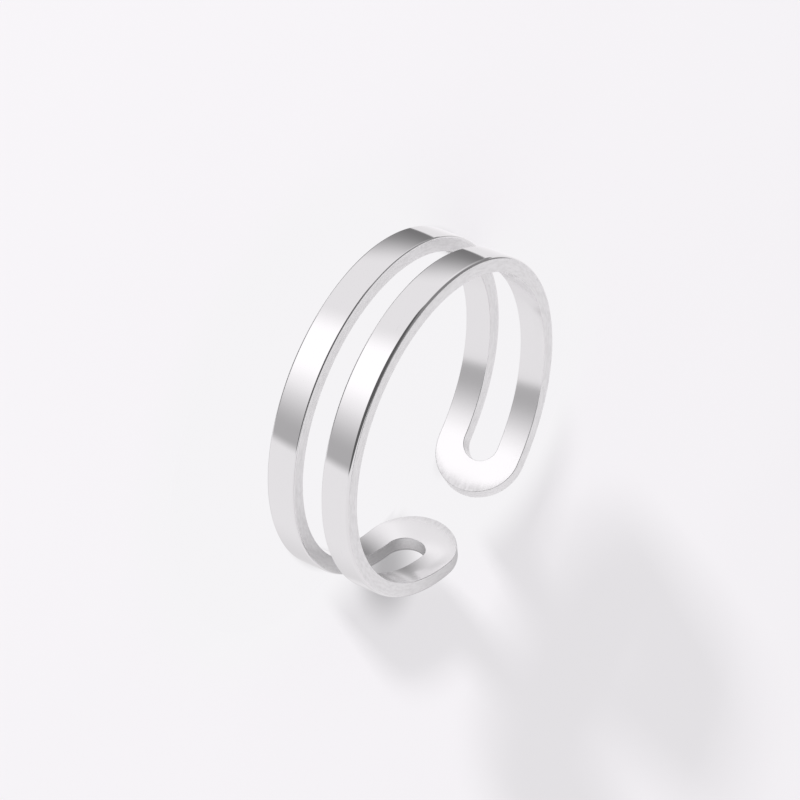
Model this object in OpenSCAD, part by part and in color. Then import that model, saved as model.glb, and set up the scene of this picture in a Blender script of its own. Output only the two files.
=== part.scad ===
// Open cuff ring: one band of metal, slotted into two rails and bent round until its ends nearly meet.
// It lies on its side: the finger goes through along Z, and the opening faces +X.

/* [Band] */
// Inner diameter, the finger size
inner_diameter = 17.3; // [14:0.1:23]
// Thickness of the metal
thickness = 0.9; // [0.6:0.05:1.6]
// Width of the band from rim to rim
band_width = 5.1; // [3.8:0.1:8]
// Bevel along every edge
edge_bevel = 0.15; // [0.05:0.01:0.25]

/* [Slot] */
// Width of the slot at the back, opposite the opening
slot_width_back = 1.6; // [0.8:0.1:2.8]
// Width of the slot where its round ends begin
slot_width_front = 2.1; // [0.8:0.1:2.8]

/* [Opening] */
// Gap between the two round ends of the band, along the middle of the metal
opening = 2.4; // [0.6:0.1:6]
// Solid metal between a round end and the slot, along the middle of the metal
end_bridge = 1.9; // [1:0.1:4]
// How far the inside of each end is eased back at its tip, so that it doesn't dig into the finger
end_ease = 0.04; // [0.02:0.01:0.1]

/* [Hidden] */

// Smoothness of the round surfaces
$fn = 180;
// Number of sides of the discs that shape the round ends
disc_sides = 64;
// How far each cutting solid reaches past the metal
past = 0.5;
// How much wider the discs of the round ends are than the band, so that they cross its rims cleanly
rim_crossing = 0.01;

r_inner = inner_diameter / 2;
r_middle = r_inner + thickness / 2;
r_outer = r_inner + thickness;
end_radius = band_width / 2 + rim_crossing;

// Angle that a length along the middle of the metal takes up
function arc_angle(length) = length / r_middle * 180 / PI;

// Angles from the opening's middle to the centre of each round end, and to the centre of each slot end
end_angle = arc_angle(opening / 2 + end_radius);
slot_angle = arc_angle(opening / 2 + end_bridge + slot_width_front / 2);

// Angles from the opening's middle to each tip, and to where the easing behind it begins
tip_angle = arc_angle(opening / 2);
ease_angle = arc_angle(opening / 2 + end_bridge + slot_width_front);

// Lean of the slot's two walls, which makes it wider towards the opening
slot_lean = atan((slot_width_front - slot_width_back) / 2 / (r_middle * (1 + cos(slot_angle))));
slot_width_side = slot_width_back + 2 * r_middle * tan(slot_lean);
// How far each half of the slot reaches past the band's middle plane, so that the halves overlap
half_overlap = slot_width_back / 4;

// Rows of [distance from the ring's axis, half width] for a wall through the metal, with a bevel at both
// surfaces: flare 1 widens a hole towards them, and flare -1 narrows a tongue of metal
function wall_rows(half_width, flare) = let(bevelled = half_width + flare * (edge_bevel + past)) [
    [r_inner - past, bevelled],
    [r_inner + edge_bevel, half_width],
    [r_outer - edge_bevel, half_width],
    [r_outer + past, bevelled]
];

// Section of the band from rim to rim, with its four corners bevelled
module band_section() {
    polygon([
        [r_inner, edge_bevel],
        [r_inner + edge_bevel, 0],
        [r_outer - edge_bevel, 0],
        [r_outer, edge_bevel],
        [r_outer, band_width - edge_bevel],
        [r_outer - edge_bevel, band_width],
        [r_inner + edge_bevel, band_width],
        [r_inner, band_width - edge_bevel]
    ]);
}

// A disc bent round the ring's axis, whose wall runs straight out from that axis as the metal's own ends do
module bent_disc(angle, radius, flare) {
    rows = wall_rows(radius, flare);
    n = disc_sides;
    last = n * (len(rows) - 1);
    points = [
        for (row = rows) for (k = [0 : n - 1])
            let(turn = 360 * k / n, place = angle + arc_angle(row[1] * cos(turn)))
            [row[0] * cos(place), row[0] * sin(place), band_width / 2 + row[1] * sin(turn)]
    ];
    wall = [
        for (row = [0 : len(rows) - 2]) for (k = [0 : n - 1])
            let(a = n * row + k, b = n * row + (k + 1) % n)
            each [[a, a + n, b], [b, a + n, b + n]]
    ];
    cap = concat(
        [for (k = [0 : n / 2 - 2]) [k, k + 1, n - k - 1]],
        [for (k = [1 : n / 2 - 1]) [k, n - k - 1, n - k]]
    );
    far_cap = [for (face = cap) [last + face[0], last + face[2], last + face[1]]];
    polyhedron(points, concat(wall, cap, far_cap));
}

// The long slot between the two rails, made as an upper and a lower half that lean apart
module slot() {
    half_section = concat(
        [[r_inner - past, -half_overlap]],
        wall_rows(slot_width_side / 2, 1),
        [[r_outer + past, -half_overlap]]
    );
    translate([0, 0, band_width / 2])
        for (half = [0, 1])
            mirror([0, 0, half])
                rotate([0, -slot_lean, 0])
                    rotate_extrude(start = slot_angle, angle = 360 - 2 * slot_angle)
                        polygon(half_section);
    for (side = [-1, 1])
        bent_disc(side * slot_angle, slot_width_front / 2, 1);
}

// The opening of the cuff: a sector of the band, less the round tongue of metal at each side of it
module opening_cut() {
    difference() {
        rotate_extrude(start = -end_angle, angle = 2 * end_angle)
            translate([r_inner - past / 2, -past])
                square([thickness + past, band_width + 2 * past]);
        for (side = [-1, 1])
            bent_disc(side * end_angle, end_radius, -1);
    }
}

// The easing inside both ends: a round that meets the finger hole's wall where the easing begins, and that
// is set towards the opening, so that it goes deepest at the tips
module end_easing() {
    shift = end_ease / (cos(tip_angle) - cos(ease_angle));
    radius = norm([r_inner * cos(ease_angle) - shift, r_inner * sin(ease_angle)]);
    translate([shift, 0, -past])
        cylinder(r = radius, h = band_width + 2 * past);
}

module cuff_band() {
    color("silver")
        difference() {
            rotate_extrude()
                band_section();
            slot();
            opening_cut();
            end_easing();
        }
}

cuff_band();
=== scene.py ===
import math
from functools import reduce
from typing import NamedTuple

import bpy
from bpy.props import FloatProperty, FloatVectorProperty, PointerProperty
from mathutils import Matrix, Vector


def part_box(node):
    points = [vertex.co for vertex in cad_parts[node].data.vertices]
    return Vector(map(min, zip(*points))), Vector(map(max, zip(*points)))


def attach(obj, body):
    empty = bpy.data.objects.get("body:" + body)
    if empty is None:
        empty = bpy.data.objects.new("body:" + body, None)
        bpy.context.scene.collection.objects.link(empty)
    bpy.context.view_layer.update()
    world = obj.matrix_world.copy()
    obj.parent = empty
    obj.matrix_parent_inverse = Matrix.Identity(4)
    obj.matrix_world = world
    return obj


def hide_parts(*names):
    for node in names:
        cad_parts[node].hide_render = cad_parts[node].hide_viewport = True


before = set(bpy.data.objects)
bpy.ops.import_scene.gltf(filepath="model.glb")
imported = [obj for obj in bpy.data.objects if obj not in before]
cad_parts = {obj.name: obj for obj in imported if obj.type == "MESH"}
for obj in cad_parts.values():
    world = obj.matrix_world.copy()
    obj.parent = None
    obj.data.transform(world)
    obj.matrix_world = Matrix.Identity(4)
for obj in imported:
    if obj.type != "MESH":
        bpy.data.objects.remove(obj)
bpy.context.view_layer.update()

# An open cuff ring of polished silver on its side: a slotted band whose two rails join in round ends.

bl_info = {
    "name": "Open Cuff Ring",
    "version": (1, 0, 0),
    "blender": (4, 5, 0),
    "location": "3D View > Sidebar > Cuff Ring",
    "description": "Makes a slotted open cuff ring of polished silver, and a pale studio for it",
    "category": "Add Mesh",
}

MM = 0.001
PER_METRE = 1 / MM
RIGHT_ANGLE = math.pi / 2

BAND_NODE = "cuff_band"
LOW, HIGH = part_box(BAND_NODE)
OUTER_RADIUS = -LOW[0]
BAND_WIDTH = HIGH[2] - LOW[2]

# Steps of the band's mesh: along a rail, round an end, over a rounded edge, across a face and up a wall
RAIL_STEPS = 300
END_STEPS = 72
EDGE_STEPS = 6
FACE_STEPS = 10
WALL_STEPS = 3


class Stretch(NamedTuple):
    """A stretch of the studio's walls, in degrees from the front, that fades in and out at its ends."""

    begins: float
    full: float
    fades: float
    ends: float


class Panel(NamedTuple):
    """A part of the studio's wall, and how much brighter or darker than the rest it is."""

    stretch: Stretch
    gain: float


class Patch(NamedTuple):
    """A round patch of the floor in mm, whole within its near radius and gone past its far one."""

    x: float
    y: float
    near: float
    far: float
    stretch: float = 1


class Card(NamedTuple):
    """A round glowing card in mm, with a painted shade in its middle and painted light at its edge, that
    shows between two heights.
    """

    name: str
    centre: tuple
    turn: float
    radius: float
    dark: float
    pale: float
    low: float
    high: float


# Brightness of the studio's plain wall, on the scale of a screen
WALL_LEVEL = 0.88
PANELS = (
    # A wide window in front
    Panel(Stretch(-45, -25, -5, 20), 0.12),
    # A curtain to its right, which darkens slowly and ends in a sharp edge
    Panel(Stretch(10, 40, 46, 54), -0.22),
    # A dark screen far to the left, with a sharp outer edge, which pales towards the front
    Panel(Stretch(-140, -137, -136, -85), -0.42),
    # A shaded corner behind on the right
    Panel(Stretch(110, 155, 160, 175), -0.05),
    # Pale curtains at the very back, left and right
    Panel(Stretch(-182, -181, -170, -145), 0.06),
    Panel(Stretch(170, 180, 181, 182), 0.06),
)

# Height in degrees that the ring's upright faces mirror, and how far past it their crown reaches
MIRRORED_HEIGHT = -28
CROWN_REACH = 6
# Where the walls' borders lean, and by how many degrees for each degree of height
LEANING_WALLS = Stretch(-170, -150, -132, -116)
LEAN = 1.6
# Where the walls grow brighter upwards, and by what share for each degree of height
SLOPING_WALLS = Stretch(-141, -137, -105, -82)
SLOPE = 0.03
# Where the foot of the walls is dark, and by what share: it draws a line along the edges that face down
DARK_FOOT_LEFT = Stretch(-139, -134, -104, -92)
DARK_FOOT_LEFT_DEPTH = 0.90
DARK_FOOT_FRONT = Stretch(-50, -38, 42, 50)
DARK_FOOT_FRONT_DEPTH = 0.88
PALE_FOOT = Stretch(-142, -136, 136, 142)
DARK_FOOT_BACK_DEPTH = 0.75
DARK_FOOT_TOP = (-49, -37)
# The plain walls behind, which stand between two heights
FRONT_WALLS = Stretch(-140, -134, 47, 51)
BACK_WALL_LEVEL = 0.865
BACK_WALL_FOOT = (-6, 14)
BACK_WALL_TOP = (60, 75)
# The dark hood over the front, which hangs higher and is paler at its left
HOOD = Stretch(-164, -156, 47, 51)
HOOD_EDGE = (-14, -6)
HOOD_LEVEL = 0.34
HOOD_LEFT = (-68, -56)
HOOD_LEFT_HIGHER = 24
HOOD_LEFT_LEVEL = 0.5
# The dark ceiling behind
PALE_CEILING = Stretch(-140, -134, 134, 142)
CEILING_EDGE = (58, 66)

# Glowing cards near the ring that only the metal mirrors, each a painted shade in its middle with painted
# light round it: one before its near end, and one low behind its far end
CARDS = (
    Card(
        "spot_card", centre=(HIGH[0] / MM + 0.15, -3.6, 2.8), turn=0, radius=7, dark=0.28, pale=0.80,
        low=-2.5, high=7
    ),
    Card(
        "low_card", centre=(11, 12, -8), turn=RIGHT_ANGLE, radius=13, dark=0.24, pale=0.95,
        low=-6, high=4.3
    ),
)

# Half the side of the floor, in metres
FLOOR_REACH = 3.0
# Patches of painted light, where the floor glows wholly and no shadow shows: inside the ring, in its
# opening, past its far end, round its back
PAINTED_LIGHT_PATCHES = (
    Patch(0, 0, 8.7, 9.5),
    Patch(10, 0.5, 2, 3.5),
    Patch(10, 8, 8, 12.5),
    Patch(-4, -5, 11.5, 16.5),
)
# The painted shade along the ring's foot lies within one patch and out of another, and stops at the
# opening
FOOT = Patch(0.8, 0.35, 9, 9.9)
INSIDE_FOOT = Patch(0.8, 0.35, 8.3, 9)
OPENING_PATCH = Patch(9.5, 0, 2.2, 4)
FOOT_SHADE = 0.35
# The painted shades outside the ring, under its near end and its far end
INSIDE_RING = Patch(0, 0, 9.1, 9.8)
NEAR_END = Patch(11.7, -3.4, 0.3, 3.2, stretch=1.7)
NEAR_END_SHADE = 0.42
FAR_END = Patch(9.9, 3.6, 0, 1.8)
FAR_END_SHADE = 0.22

# Depths under the outer face and over the inner face where the polish gives way to brushed metal, in mm
BRUSHED_UNDER_OUTER = (0.10, 0.17)
BRUSHED_OVER_INNER = (0.02, 0.05)
# Depth over the inner face where the inner polish ends, in mm
INNER_POLISH_ENDS = (0.15, 0.25)
# Levels of the noise between which specks, hairlines and smeared patches come up
SPECKS = (0.66, 0.74)
HAIRLINES = (0.66, 0.72)
SMEARS = (0.45, 0.62)
# Depth of the brushed lines, and the share of it that the polish's own lines have
BRUSHED_DEPTH = 0.004 * MM
POLISH_LINES = 0.02


def length(name, description, default_mm, **limits):
    """A length property, with its default in millimetres."""
    return FloatProperty(
        name=name, description=description, default=default_mm * MM, precision=5, unit="LENGTH",
        subtype="DISTANCE", **limits
    )


def share(name, description, default):
    """A property from 0 to 1."""
    return FloatProperty(
        name=name, description=description, default=default, min=0, max=1, subtype="FACTOR"
    )


def angle(name, description, default_degrees):
    """An angle property, with its default in degrees."""
    return FloatProperty(
        name=name, description=description, default=math.radians(default_degrees), unit="ROTATION",
        subtype="ANGLE"
    )


def colour(name, description, default):
    """A colour property."""
    return FloatVectorProperty(
        name=name, description=description, default=default, min=0, max=1, size=3, subtype="COLOR"
    )


class BandSizes(bpy.types.PropertyGroup):
    """Sizes of the band. Its outer radius and its width come from the band's part in model.glb."""

    thickness: length("Thickness", "Thickness of the metal", 0.9)
    upper_rounding: length("Upper rounding", "Rounding of the upper rail's outer edge at its rim", 0.18)
    lower_rounding: length("Lower rounding", "Rounding of each rail's outer edge that faces down", 0.10)
    slot_rounding: length("Slot rounding", "Rounding of the lower rail's outer edge along the slot", 0.08)
    inner_rounding: length("Inner rounding", "Rounding of all the inner face's edges", 0.03)
    crown: length("Crown", "How far the middle of each rail stands over its edges", 0.018)
    slot_back: length("Slot at the back", "Width of the slot opposite the opening", 1.6)
    slot_front: length("Slot at the front", "Width of the slot where its round ends begin", 2.1)
    opening: length("Opening", "Gap between the two round ends", 2.4)
    end_bridge: length("End bridge", "Solid metal between a round end and the slot", 1.9)
    end_ease: length("End ease", "How far the inside of each end is eased back at its tip", 0.04)


class SilverFinish(bpy.types.PropertyGroup):
    """Colour and polish of the metal."""

    metal: colour("Metal", "Colour of clean silver", (0.95, 0.945, 0.95))
    worn: colour("Worn", "Colour of the metal in its scratches and nicks", (0.80, 0.795, 0.80))
    polish: share("Polish", "Roughness of the mirror-polished outer face", 0.045)
    inner_polish: share("Inner polish", "Roughness of the inner face", 0.15)
    satin: share("Satin", "Roughness of the brushed side faces and slot walls", 0.36)


class StudioSettings(bpy.types.PropertyGroup):
    """Floor, light and camera of the picture."""

    floor: colour("Floor", "Colour of the pale floor", (0.913, 0.902, 0.920))
    floor_matt: share("Floor matt", "Part of the floor's colour that gives light back", 0.515)
    floor_glow: share("Floor glow", "Part of the floor's colour that is its own glow", 0.43)
    tint: colour("Tint", "Tint of all the light", (1.0, 0.981, 1.0))
    soft_light: FloatProperty(
        name="Soft light", description="Strength of the even light", default=0.80, min=0
    )
    mirror_light: FloatProperty(
        name="Mirror light", description="Strength of what the metal reflects", default=1.08, min=0
    )
    key_power: FloatProperty(
        name="Key light", description="Power of the soft light that casts the shadow", default=50, min=0,
        unit="POWER"
    )
    key_turn: angle("Key turn", "Direction of the key light round the ring", -169)
    key_rise: angle("Key rise", "Height of the key light over the floor", 5.3)
    key_distance: length("Key distance", "Distance of the key light", 1200)
    key_width: length("Key width", "Width of the key light", 110)
    key_height: length("Key height", "Height of the key light", 30)
    camera_turn: angle("Camera turn", "Direction of the camera round the ring", -152.9)
    camera_rise: angle("Camera rise", "Height of the camera over the floor", 27.95)
    camera_roll: angle("Camera roll", "Tilt of the picture", 112.16)
    camera_distance: length("Camera distance", "Distance from the camera to the picture's middle", 262)
    focal_length: FloatProperty(
        name="Focal length", description="Focal length of the lens, in millimetres", default=225
    )
    centre: FloatVectorProperty(
        name="Centre", description="Place that the middle of the picture shows", size=3, unit="LENGTH",
        default=(-1.834 * MM, -0.567 * MM, 2.55 * MM), subtype="TRANSLATION"
    )


class Signal:
    """A socket of a node tree. Python's arithmetic on it adds the nodes that work it out."""

    def __init__(self, tree, socket=None):
        self.tree = tree
        self.socket = socket

    def node(self, kind, settings=None, inputs=None, output=0):
        """A new node of any kind. Its settings are set first, then the values or links of its sockets."""
        node = self.tree.nodes.new(kind)
        for name, value in (settings or {}).items():
            setattr(node, name, value)
        for name, value in (inputs or {}).items():
            if isinstance(value, Signal):
                self.tree.links.new(value.socket, node.inputs[name])
            else:
                node.inputs[name].default_value = value
        return Signal(self.tree, node.outputs[output] if node.outputs else None)

    def other(self, output):
        """Another output of the node that this socket belongs to."""
        return Signal(self.tree, self.socket.node.outputs[output])

    def maths(self, operation, *values):
        """A Math node, or a Vector Math node where a value is a vector."""
        vectors = any(isinstance(v, Signal) and v.socket.type == "VECTOR" for v in values)
        kind = "ShaderNodeVectorMath" if vectors else "ShaderNodeMath"
        inputs = {
            i: (v, v, v) if vectors and not isinstance(v, Signal) else v for i, v in enumerate(values)
        }
        return self.node(kind, {"operation": operation}, inputs)

    def __add__(self, other):
        return self.maths("ADD", self, other)

    def __radd__(self, other):
        return self.maths("ADD", other, self)

    def __sub__(self, other):
        return self.maths("SUBTRACT", self, other)

    def __rsub__(self, other):
        return self.maths("SUBTRACT", other, self)

    def __mul__(self, other):
        return self.maths("MULTIPLY", self, other)

    def __rmul__(self, other):
        return self.maths("MULTIPLY", other, self)

    def __truediv__(self, other):
        return self.maths("DIVIDE", self, other)

    def __pow__(self, other):
        return self.maths("POWER", self, other)

    def lower_of(self, other):
        """The smaller of the two."""
        return self.maths("MINIMUM", self, other)

    def higher_of(self, other):
        """The larger of the two."""
        return self.maths("MAXIMUM", self, other)

    def rise(self, start, end):
        """A smooth step from 0 at start to 1 at end."""
        return self.node(
            "ShaderNodeMapRange", {"interpolation_type": "SMOOTHSTEP"},
            {"Value": self, "From Min": start, "From Max": end}
        )

    def within(self, stretch):
        """1 within a stretch of angles, fading to 0 at its ends."""
        return self.rise(stretch.begins, stretch.full) * (1 - self.rise(stretch.fades, stretch.ends))

    def length(self):
        """The length of a vector."""
        return self.node("ShaderNodeVectorMath", {"operation": "LENGTH"}, {0: self}, output="Value")

    def split(self):
        """The three parts of a vector."""
        x = self.node("ShaderNodeSeparateXYZ", inputs={"Vector": self})
        return x, x.other("Y"), x.other("Z")

    def mix(self, start, end):
        """The colour that lies this far from start to end."""
        return self.node(
            "ShaderNodeMix", {"data_type": "RGBA"}, {"Factor": self, 6: start, 7: end}, output=2
        )

    def tinted(self, tint):
        """This colour, multiplied by another."""
        return self.node(
            "ShaderNodeMix", {"data_type": "RGBA", "blend_type": "MULTIPLY"},
            {"Factor": 1.0, 6: self, 7: tint}, output=2
        )


def linear(level):
    """The light that a screen shows at a brightness level from 0 to 1, as a number or a signal."""
    return ((level + 0.055) / 1.055) ** 2.4


def rgba(values):
    """Three colour values with full opacity."""
    return (*values, 1)


def grey(level):
    """The grey that a screen shows at a brightness level."""
    return rgba([linear(level)] * 3)


def fresh_tree(owner):
    """An empty node tree of a material or world."""
    owner.use_nodes = True
    owner.node_tree.nodes.clear()
    return Signal(owner.node_tree)


class Band:
    """The band as a flat pattern, along by across, that is bent round the ring's axis."""

    def __init__(self, sizes):
        self.outer = OUTER_RADIUS
        self.inner = OUTER_RADIUS - sizes.thickness
        self.middle = (self.outer + self.inner) / 2
        self.rim_rounding = (sizes.lower_rounding, sizes.upper_rounding, sizes.inner_rounding)
        self.slot_rounding = (sizes.lower_rounding, sizes.slot_rounding, sizes.inner_rounding)
        self.slot_back = sizes.slot_back / 2
        self.slot_end_radius = sizes.slot_front / 2
        self.end_radius = BAND_WIDTH / 2
        self.crown = sizes.crown
        rail_width = self.end_radius - (self.slot_back + self.slot_end_radius) / 2
        self.crown_tilt = 4 * sizes.crown / rail_width
        self.tip = sizes.opening / 2
        self.end_centre = self.tip + self.end_radius
        self.slot_centre = self.tip + sizes.end_bridge + self.slot_end_radius
        self.ease = sizes.end_ease
        self.ease_start = self.tip + sizes.end_bridge + sizes.slot_front
        self.turn = 2 * math.pi * self.middle

    def slot_half_width(self, along):
        """Half the slot's width, which grows from the back towards the opening."""
        growth = (1 + math.cos(along / self.middle)) / (1 + math.cos(self.slot_centre / self.middle))
        return self.slot_back + (self.slot_end_radius - self.slot_back) * growth

    def inner_radius(self, along):
        """Radius of the inside, which is eased back towards each tip."""
        from_opening = min(along, self.turn - along)
        part = min(max((self.ease_start - from_opening) / (self.ease_start - self.tip), 0), 1)
        return self.inner + self.ease * part * part

    def stations(self):
        """The places round the band's loop, each as slot edge, its facing, outer edge and its facing."""
        for side in (1, -1):
            for step in range(RAIL_STEPS):
                part = step / RAIL_STEPS if side > 0 else 1 - step / RAIL_STEPS
                along = self.slot_centre + part * (self.turn - 2 * self.slot_centre)
                outer_along = self.end_centre + part * (self.turn - 2 * self.end_centre)
                yield (
                    Vector((along, side * self.slot_half_width(along))),
                    Vector((0, -side)),
                    Vector((outer_along, side * self.end_radius)),
                    Vector((0, side)),
                )
            slot_centre = Vector((self.turn - self.slot_centre if side > 0 else self.slot_centre, 0))
            end_centre = Vector((self.turn - self.end_centre if side > 0 else self.end_centre, 0))
            for step in range(END_STEPS):
                swing = RIGHT_ANGLE - math.pi * step / END_STEPS
                facing = side * Vector((math.cos(swing), math.sin(swing)))
                yield (
                    slot_centre + self.slot_end_radius * facing,
                    -facing,
                    end_centre + self.end_radius * facing,
                    facing,
                )

    def edge_profile(self, place, facing, rounding):
        """From the outer face, over the wall at an edge, to the inner face: places, radii and tilts."""
        lower, upper, under = rounding
        over = lower + (upper - lower) * (1 + facing.y) / 2
        outer = self.outer - self.crown
        inner = self.inner_radius(place.x) + self.crown
        for step in range(EDGE_STEPS + 1):
            tilt = self.crown_tilt + (RIGHT_ANGLE - self.crown_tilt) * step / EDGE_STEPS
            back = over * (1 - math.sin(tilt))
            yield place - back * facing, outer - over * (1 - math.cos(tilt)), tilt
        for step in range(1, WALL_STEPS):
            part = step / WALL_STEPS
            yield place, (outer - over) * (1 - part) + (inner + under) * part, RIGHT_ANGLE
        for step in range(EDGE_STEPS + 1):
            tilt = RIGHT_ANGLE + (RIGHT_ANGLE - self.crown_tilt) * step / EDGE_STEPS
            back = under * (1 - math.sin(tilt))
            yield place - back * facing, inner + under * (1 + math.cos(tilt)), tilt

    def bend(self, place, facing, radius, tilt):
        """A place of the pattern, bent round the axis, and which way its surface faces there."""
        turn = place.x / self.middle
        out = Vector((math.cos(turn), math.sin(turn), 0))
        round_axis = Vector((-math.sin(turn), math.cos(turn), 0))
        point = radius * out + Vector((0, 0, LOW[2] + self.end_radius + place.y))
        wall = facing.x * round_axis + Vector((0, 0, facing.y * radius / self.middle))
        return point, math.cos(tilt) * out + math.sin(tilt) * wall.normalized()

    def across(self, slot, rim, facing, outside):
        """The places from the slot's edge to the rim, over the crown of the outer or inner face."""
        for step in range(1, FACE_STEPS):
            place = slot.lerp(rim, step / FACE_STEPS)
            off_middle = 2 * step / FACE_STEPS - 1
            drop = self.crown * off_middle ** 2
            tilt = self.crown_tilt * off_middle
            if outside:
                yield self.bend(place, facing, self.outer - drop, tilt)
            else:
                yield self.bend(place, facing, self.inner_radius(place.x) + drop, math.pi - tilt)

    def ring_of_points(self, station):
        """All the points round the metal at one station, with the way that each faces."""
        slot, slot_facing, rim, rim_facing = station
        rim_rows = list(self.edge_profile(rim, rim_facing, self.rim_rounding))
        slot_rows = list(self.edge_profile(slot, slot_facing, self.slot_rounding))
        inside = list(self.across(slot_rows[-1][0], rim_rows[-1][0], rim_facing, outside=False))
        return [
            *(self.bend(place, rim_facing, radius, tilt) for place, radius, tilt in rim_rows),
            *reversed(inside),
            *(self.bend(place, slot_facing, radius, tilt) for place, radius, tilt in reversed(slot_rows)),
            *self.across(slot_rows[0][0], rim_rows[0][0], rim_facing, outside=True),
        ]


def band_mesh(band):
    """The mesh of the whole band: rings of points, joined into a closed loop."""
    rings = [band.ring_of_points(station) for station in band.stations()]
    count = len(rings[0])
    points = [point for ring in rings for point, _ in ring]
    facings = [facing for ring in rings for _, facing in ring]
    faces = []
    for ring in range(len(rings)):
        here, there = ring * count, (ring + 1) % len(rings) * count
        for k in range(count):
            after = (k + 1) % count
            faces.append((here + k, there + k, there + after, here + after))
    mesh = bpy.data.meshes.new("band")
    mesh.from_pydata(points, [], faces)
    mesh.shade_smooth()
    mesh.normals_split_custom_set_from_vertices(facings)
    return mesh


def silver_material(finish, band):
    """Silver with mirror-polished faces, burnished edges and finely brushed walls."""
    material = bpy.data.materials.new("polished_silver")
    start = fresh_tree(material)
    place = start.node("ShaderNodeTexCoord", output="Object") * PER_METRE
    x, y, z = place.split()
    radius = (x * x + y * y) ** 0.5
    along = start.maths("ARCTAN2", y, x) * (band.middle / MM)
    outer_depth = band.outer / MM - radius
    inner_depth = radius - band.inner / MM
    wall = outer_depth.rise(*BRUSHED_UNDER_OUTER) * inner_depth.rise(*BRUSHED_OVER_INNER)
    inside = 1 - inner_depth.rise(*INNER_POLISH_ENDS)

    def grain(stretch, fineness, detail):
        """Fine lines along the band: how long they are in mm, how many lie in a mm, and their detail."""
        vector = start.node(
            "ShaderNodeCombineXYZ",
            inputs={"X": along / stretch, "Y": radius * fineness, "Z": z * fineness},
        )
        return start.node(
            "ShaderNodeTexNoise",
            inputs={"Vector": vector, "Scale": 1.0, "Detail": detail, "Roughness": 0.6},
        )

    brushed = grain(stretch=0.5, fineness=8, detail=3)
    specks = grain(stretch=0.16, fineness=7, detail=1).rise(*SPECKS)
    swirl = grain(stretch=1.6, fineness=9, detail=2)
    smear = start.node("ShaderNodeTexNoise", inputs={"Vector": place, "Scale": 0.45, "Detail": 3.0})
    hairlines = swirl.rise(*HAIRLINES) * smear.rise(*SMEARS) * (1 - wall)
    polish = finish.polish * (0.75 + 0.7 * smear) + 0.05 * hairlines
    polish = polish + inside * (finish.inner_polish - finish.polish)
    satin = finish.satin * (0.8 + 0.4 * brushed)
    roughness = polish * (1 - wall) + satin * wall
    worn = hairlines * 0.35 + (brushed.rise(0.35, 0.7) * 0.55 + specks * 0.45) * wall
    base = worn.mix(rgba(finish.metal), rgba(finish.worn))
    height = brushed * wall + swirl * (1 - wall) * POLISH_LINES
    bump = start.node(
        "ShaderNodeBump", inputs={"Height": height, "Strength": 1.0, "Distance": BRUSHED_DEPTH}
    )
    surface = start.node(
        "ShaderNodeBsdfPrincipled",
        inputs={"Base Color": base, "Metallic": 1.0, "Roughness": roughness, "Normal": bump}
    )
    start.node("ShaderNodeOutputMaterial", inputs={"Surface": surface})
    return material


def floor_material(studio):
    """A pale, barely mottled floor that glows a little, with painted light in patches and painted shade
    by the ring.
    """
    material = bpy.data.materials.new("pale_floor")
    start = fresh_tree(material)
    place = start.node("ShaderNodeTexCoord", output="Object") * PER_METRE
    x, y, _ = place.split()

    def on(patch):
        """1 on a patch of the floor, fading to 0 towards its far radius."""
        off_x = (x - patch.x) / patch.stretch
        off_y = y - patch.y
        return 1 - ((off_x * off_x + off_y * off_y) ** 0.5).rise(patch.near, patch.far)

    # Painted light: in these patches the floor glows wholly and takes no shadow
    painted_light = reduce(Signal.higher_of, map(on, PAINTED_LIGHT_PATCHES))
    # Painted shade on the floor: along the ring's foot and under its two ends
    foot = on(FOOT) * (1 - on(INSIDE_FOOT)) * (1 - on(OPENING_PATCH))
    ends = (NEAR_END_SHADE * on(NEAR_END)).higher_of(FAR_END_SHADE * on(FAR_END))
    shade = 1 - (FOOT_SHADE * foot).higher_of(ends * (1 - on(INSIDE_RING)))
    mottle = start.node("ShaderNodeTexNoise", inputs={"Vector": place, "Scale": 0.03, "Detail": 2.0})
    tone = (0.985 + 0.03 * mottle) * shade
    black, pale = rgba([0, 0, 0]), rgba(studio.floor)
    matt = ((1 - painted_light) * studio.floor_matt * tone).mix(black, pale)
    glow = ((studio.floor_glow + (1 - studio.floor_glow) * painted_light) * tone).mix(black, pale)
    surface = start.node(
        "ShaderNodeBsdfPrincipled",
        inputs={
            "Base Color": matt, "Roughness": 0.9, "Specular IOR Level": 0.0, "Emission Color": glow,
            "Emission Strength": 1.0,
        },
    )
    start.node("ShaderNodeOutputMaterial", inputs={"Surface": surface})
    return material


def card_material(card, tint):
    """The glow of a card, a painted shade in its middle that pales to painted light, which fades out at
    its edge and past its two heights.
    """
    material = bpy.data.materials.new(card.name)
    start = fresh_tree(material)
    place = start.node("ShaderNodeTexCoord", output="Object") * PER_METRE
    height = place.split()[2]
    distance = place.length()
    dark, pale = (rgba([level * part for part in tint]) for level in (card.dark, card.pale))
    level = distance.rise(0, 0.8 * card.radius).mix(dark, pale)
    shade = start.node("ShaderNodeEmission", inputs={"Color": level, "Strength": 1.0})
    clear = start.node("ShaderNodeBsdfTransparent")
    between = height.rise(card.low - 1, card.low) * (1 - height.rise(card.high, card.high + 1))
    cover = (1 - distance.rise(0.75 * card.radius, card.radius)) * between
    both = start.node("ShaderNodeMixShader", inputs={"Fac": cover, 1: clear, 2: shade})
    start.node("ShaderNodeOutputMaterial", inputs={"Surface": both})
    return material


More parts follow.
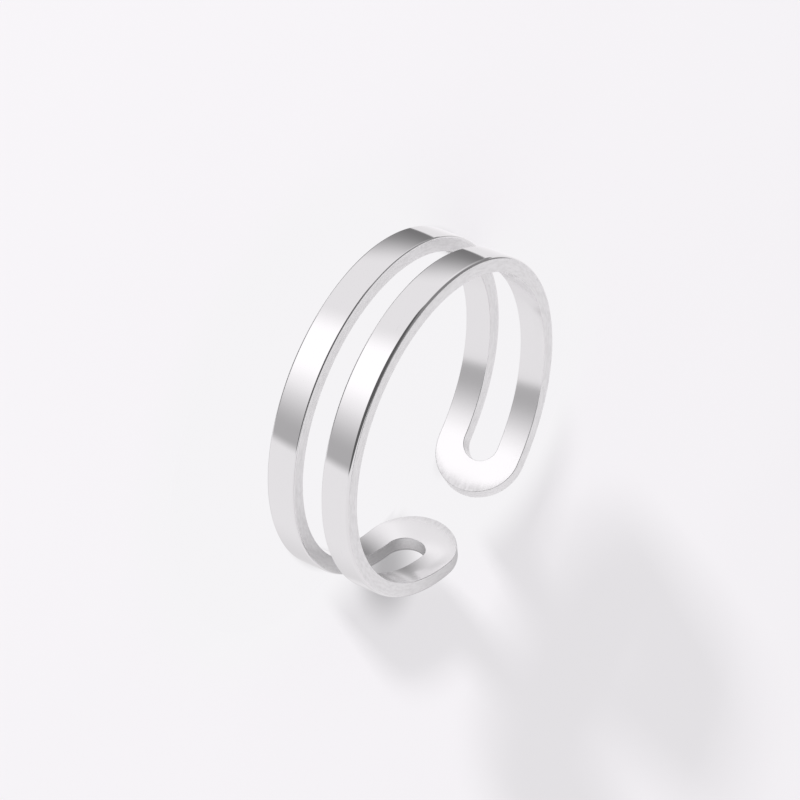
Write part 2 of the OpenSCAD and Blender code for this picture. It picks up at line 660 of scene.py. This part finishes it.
def studio_walls(bearing, height, above):
    """The colour of the studio's walls, by bearing from the front and by height, all in degrees."""
    level = sum((bearing.within(panel.stretch) * panel.gain for panel in PANELS), WALL_LEVEL)
    brightness = linear(level) * (1 + bearing.within(SLOPING_WALLS) * above * SLOPE)
    dark_foot = bearing.within(DARK_FOOT_FRONT) * DARK_FOOT_FRONT_DEPTH
    dark_foot = dark_foot + bearing.within(DARK_FOOT_LEFT) * DARK_FOOT_LEFT_DEPTH
    dark_foot = dark_foot + (1 - bearing.within(PALE_FOOT)) * DARK_FOOT_BACK_DEPTH
    brightness = brightness * (1 - dark_foot * (1 - height.rise(*DARK_FOOT_TOP)))
    back = 1 - bearing.within(FRONT_WALLS)
    back = back * height.rise(*BACK_WALL_FOOT) * (1 - height.rise(*BACK_WALL_TOP))
    return back.mix(brightness, grey(BACK_WALL_LEVEL))


def studio_dark(bearing, height, walls):
    """The walls with the dark hood over the front and the dark ceiling behind."""
    left = 1 - bearing.rise(*HOOD_LEFT)
    hood = bearing.within(HOOD) * (height - HOOD_LEFT_HIGHER * left).rise(*HOOD_EDGE)
    ceiling = (1 - bearing.within(PALE_CEILING)) * height.rise(*CEILING_EDGE)
    return hood.higher_of(ceiling).mix(walls, left.mix(grey(HOOD_LEVEL), grey(HOOD_LEFT_LEVEL)))


def studio_world(studio):
    """Even light for the floor, and a studio of bright and dark walls for the metal to mirror."""
    world = bpy.data.worlds.new("studio")
    start = fresh_tree(world)
    x, y, z = start.node("ShaderNodeTexCoord", output="Generated").split()
    turn = start.maths("ARCTAN2", y, x) / (2 * math.pi)
    place = start.maths("FRACT", turn + (1.5 - studio.camera_turn / (2 * math.pi)))
    bearing = (place - 0.5) * 360
    height = start.maths("ARCSINE", z) * (180 / math.pi)
    above = (height - MIRRORED_HEIGHT).lower_of(CROWN_REACH).higher_of(-CROWN_REACH)
    bearing = bearing - bearing.within(LEANING_WALLS) * above * LEAN
    walls = studio_walls(bearing, height, above)
    seen = studio_dark(bearing, height, walls).tinted(rgba(studio.tint))
    mirrored = start.node("ShaderNodeBackground", inputs={"Color": seen, "Strength": studio.mirror_light})
    even = start.node(
        "ShaderNodeBackground", inputs={"Color": rgba(studio.tint), "Strength": studio.soft_light}
    )
    glossy = start.node("ShaderNodeLightPath", output="Is Glossy Ray")
    first_hand = glossy * (1 - glossy.other("Diffuse Depth").lower_of(1))
    both = start.node("ShaderNodeMixShader", inputs={"Fac": first_hand, 1: even, 2: mirrored})
    start.node("ShaderNodeOutputWorld", inputs={"Surface": both})
    return world


def flat_square(context, name, across, up, material):
    """A flat square stage piece round its own origin, from half its width and half its height."""
    mesh = bpy.data.meshes.new(name)
    corners = [i * across + j * up for i, j in ((-1, -1), (1, -1), (1, 1), (-1, 1))]
    mesh.from_pydata(corners, [], [(0, 1, 2, 3)])
    mesh.materials.append(material)
    piece = bpy.data.objects.new(name, mesh)
    context.collection.objects.link(piece)
    return piece


def direction(turn, rise):
    """The direction at an angle round the ring and a height over the floor."""
    return Vector((math.cos(turn) * math.cos(rise), math.sin(turn) * math.cos(rise), math.sin(rise)))


class CUFF_RING_OT_stage(bpy.types.Operator):
    """Lays the pale floor and sets up the cards, the soft lights and the camera"""

    bl_idname = "cuff_ring.stage"
    bl_label = "Set Up Studio"

    def execute(self, context):
        studio = context.scene.cuff_ring_studio
        context.scene.world = studio_world(studio)
        context.scene.view_settings.view_transform = "Standard"
        self.lay_floor(context, studio)
        self.stand_cards(context, studio)
        self.hang_key_light(context, studio)
        self.place_camera(context, studio)
        return {"FINISHED"}

    def lay_floor(self, context, studio):
        """One large square at the height that the ring rests on, which the metal doesn't mirror."""
        across, up = Vector((FLOOR_REACH, 0, 0)), Vector((0, FLOOR_REACH, 0))
        floor = flat_square(context, "floor", across, up, floor_material(studio))
        floor.location.z = LOW[2]
        floor.visible_glossy = False

    def stand_cards(self, context, studio):
        """Cards of painted shade and light that only the metal mirrors, so that its ends and its inside
        aren't evenly bright.
        """
        for card in CARDS:
            across, up = Vector((0, card.radius * MM, 0)), Vector((0, 0, card.radius * MM))
            piece = flat_square(context, card.name, across, up, card_material(card, studio.tint))
            piece.location = Vector(card.centre) * MM
            piece.rotation_euler.z = card.turn
            piece.visible_camera = False
            piece.visible_diffuse = False
            piece.visible_transmission = False
            piece.visible_shadow = False

    def hang_key_light(self, context, studio):
        """A low soft light that casts the long shadow."""
        light = bpy.data.lights.new("key", "AREA")
        light.shape = "RECTANGLE"
        light.energy = studio.key_power
        light.size = studio.key_width
        light.size_y = studio.key_height
        light.color = studio.tint
        key = bpy.data.objects.new("key", light)
        key.visible_glossy = False
        towards = direction(studio.key_turn, studio.key_rise)
        key.location = towards * studio.key_distance
        key.rotation_euler = towards.to_track_quat("Z", "Y").to_euler()
        context.collection.objects.link(key)

    def place_camera(self, context, studio):
        """The camera, turned about its own line of sight by the roll."""
        towards = direction(studio.camera_turn, studio.camera_rise)
        level = Vector((0, 0, 1)).cross(towards).normalized()
        upright = towards.cross(level)
        roll = studio.camera_roll
        right = math.cos(roll) * level + math.sin(roll) * upright
        up = math.cos(roll) * upright - math.sin(roll) * level
        place = Vector(studio.centre) + studio.camera_distance * towards
        lens = bpy.data.cameras.new("camera")
        lens.lens = studio.focal_length
        lens.clip_start = MM
        camera = bpy.data.objects.new("camera", lens)
        turned = Matrix((right, up, towards)).transposed().to_4x4()
        camera.matrix_world = Matrix.Translation(place) @ turned
        context.collection.objects.link(camera)
        context.scene.camera = camera


class CUFF_RING_OT_band(bpy.types.Operator):
    """Makes the slotted band with its rounded edges, and its silver finish"""

    bl_idname = "cuff_ring.band"
    bl_label = "Make Band"

    def execute(self, context):
        band = Band(context.scene.cuff_ring_sizes)
        piece = bpy.data.objects.new("band", band_mesh(band))
        piece.data.materials.append(silver_material(context.scene.cuff_ring_finish, band))
        context.collection.objects.link(piece)
        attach(piece, "root")
        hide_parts(BAND_NODE)
        return {"FINISHED"}


class CUFF_RING_PT_panel(bpy.types.Panel):
    """Lists the steps of the ring and its sizes"""

    bl_idname = "CUFF_RING_PT_panel"
    bl_label = "Cuff Ring"
    bl_space_type = "VIEW_3D"
    bl_region_type = "UI"
    bl_category = "Cuff Ring"

    def draw(self, context):
        layout = self.layout
        for step in (CUFF_RING_OT_stage, CUFF_RING_OT_band):
            layout.operator(step.bl_idname)
        for settings in ("cuff_ring_sizes", "cuff_ring_finish", "cuff_ring_studio"):
            group = getattr(context.scene, settings)
            column = layout.column()
            for name in group.__annotations__:
                column.prop(group, name)


CLASSES = (
    BandSizes,
    SilverFinish,
    StudioSettings,
    CUFF_RING_OT_stage,
    CUFF_RING_OT_band,
    CUFF_RING_PT_panel,
)


def register():
    for cls in CLASSES:
        bpy.utils.register_class(cls)
    bpy.types.Scene.cuff_ring_sizes = PointerProperty(type=BandSizes)
    bpy.types.Scene.cuff_ring_finish = PointerProperty(type=SilverFinish)
    bpy.types.Scene.cuff_ring_studio = PointerProperty(type=StudioSettings)


def unregister():
    del bpy.types.Scene.cuff_ring_sizes
    del bpy.types.Scene.cuff_ring_finish
    del bpy.types.Scene.cuff_ring_studio
    for cls in reversed(CLASSES):
        bpy.utils.unregister_class(cls)


def main():
    register()
    bpy.ops.cuff_ring.stage()
    bpy.ops.cuff_ring.band()


if __name__ == "__main__":
    main()
